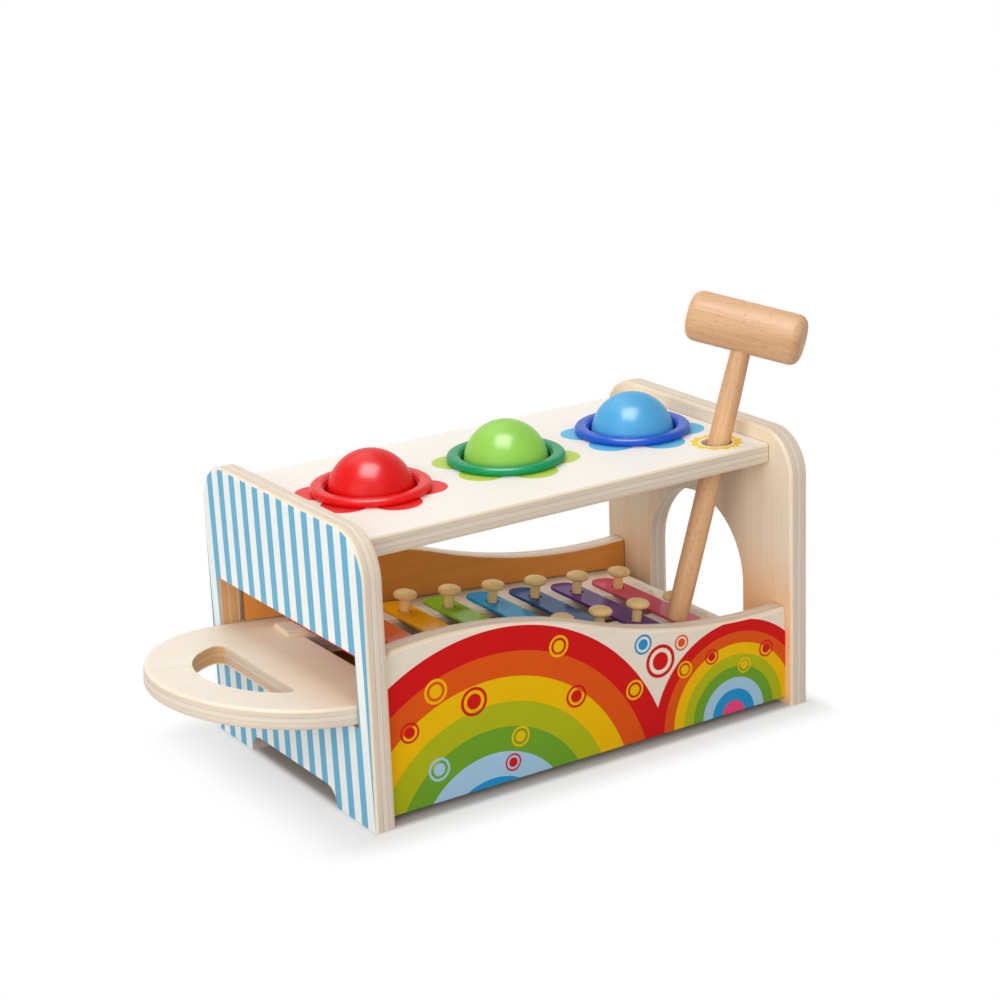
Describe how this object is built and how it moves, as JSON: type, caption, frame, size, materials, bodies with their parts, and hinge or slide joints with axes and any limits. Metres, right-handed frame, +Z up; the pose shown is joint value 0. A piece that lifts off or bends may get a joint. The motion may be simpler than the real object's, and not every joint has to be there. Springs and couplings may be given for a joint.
{
  "type": "ball pounding xylophone",
  "caption": "Wooden pounding bench with balls held in elastic rings, a sloping slide-out xylophone below them, a ball exit arch and a hammer.",
  "frame": {"origin": "on the floor under the middle of the overall length and width", "axes": "+X from the tray's handle to the ball exit, +Y from the printed front to the back, +Z up"},
  "size_m": [0.362, 0.1696, 0.226],
  "materials": {
    "end_panel_wood": "clear lacquer, striped print outside",
    "board_wood": "clear lacquer with printed petals",
    "side_panel_wood": "clear lacquer with printed arcs",
    "dowel_wood": "raw",
    "tray_wood": "clear lacquer",
    "rail_wood": "smooth",
    "felt": "soft",
    "peg_wood": "satin lacquer",
    "hammer_wood": "satin lacquer",
    "red_rubber": "satin",
    "green_rubber": "satin",
    "blue_rubber": "satin",
    "red_paint": "gloss paint",
    "green_paint": "gloss paint",
    "blue_paint": "gloss paint",
    "red_bar_paint": "gloss paint",
    "orange_bar_paint": "gloss paint",
    "yellow_bar_paint": "gloss paint",
    "green_bar_paint": "gloss paint",
    "light_blue_bar_paint": "gloss paint",
    "dark_blue_bar_paint": "gloss paint",
    "purple_bar_paint": "gloss paint",
    "pink_bar_paint": "gloss paint"
  },
  "bodies": {
    "bench": {"left_end_panel": "end_panel_wood", "right_end_panel": "end_panel_wood", "top_board": "board_wood", "front_panel": "side_panel_wood", "back_panel": "side_panel_wood", "board_dowels": "dowel_wood", "panel_dowels": "dowel_wood", "red_ring": "red_rubber", "green_ring": "green_rubber", "blue_ring": "blue_rubber"},
    "xylophone": {"tray": "tray_wood", "back_rail": "rail_wood", "front_rail": "rail_wood", "back_felt": "felt", "front_felt": "felt", "red_bar": "red_bar_paint", "orange_bar": "orange_bar_paint", "yellow_bar": "yellow_bar_paint", "green_bar": "green_bar_paint", "light_blue_bar": "light_blue_bar_paint", "dark_blue_bar": "dark_blue_bar_paint", "purple_bar": "purple_bar_paint", "pink_bar": "pink_bar_paint", "bar_pegs": "peg_wood"},
    "red_ball": {"red_ball": "red_paint"},
    "green_ball": {"green_ball": "green_paint"},
    "blue_ball": {"blue_ball": "blue_paint"},
    "hammer": {"hammer_head": "hammer_wood", "hammer_handle": "hammer_wood"}
  },
  "joints": [
    {"name": "tray_slide", "type": "slide", "parent": "bench", "child": "xylophone", "axis": [-0.9951, 0, 0.0993], "range_m": [0, 0.24]},
    {"name": "red_ball_drop", "type": "slide", "parent": "bench", "child": "red_ball", "axis": [0, 0, 1], "range_m": [-0.0585, 0.04], "deforming": ["red_ring"]},
    {"name": "green_ball_drop", "type": "slide", "parent": "bench", "child": "green_ball", "axis": [0, 0, 1], "range_m": [-0.0668, 0.04], "deforming": ["green_ring"]},
    {"name": "blue_ball_drop", "type": "slide", "parent": "bench", "child": "blue_ball", "axis": [0, 0, 1], "range_m": [-0.075, 0.04], "deforming": ["blue_ring"]},
    {"name": "hammer_lift", "type": "slide", "parent": "bench", "child": "hammer", "axis": [0.2598, -0.0552, 0.9641], "range_m": [0, 0.1]}
  ]
}
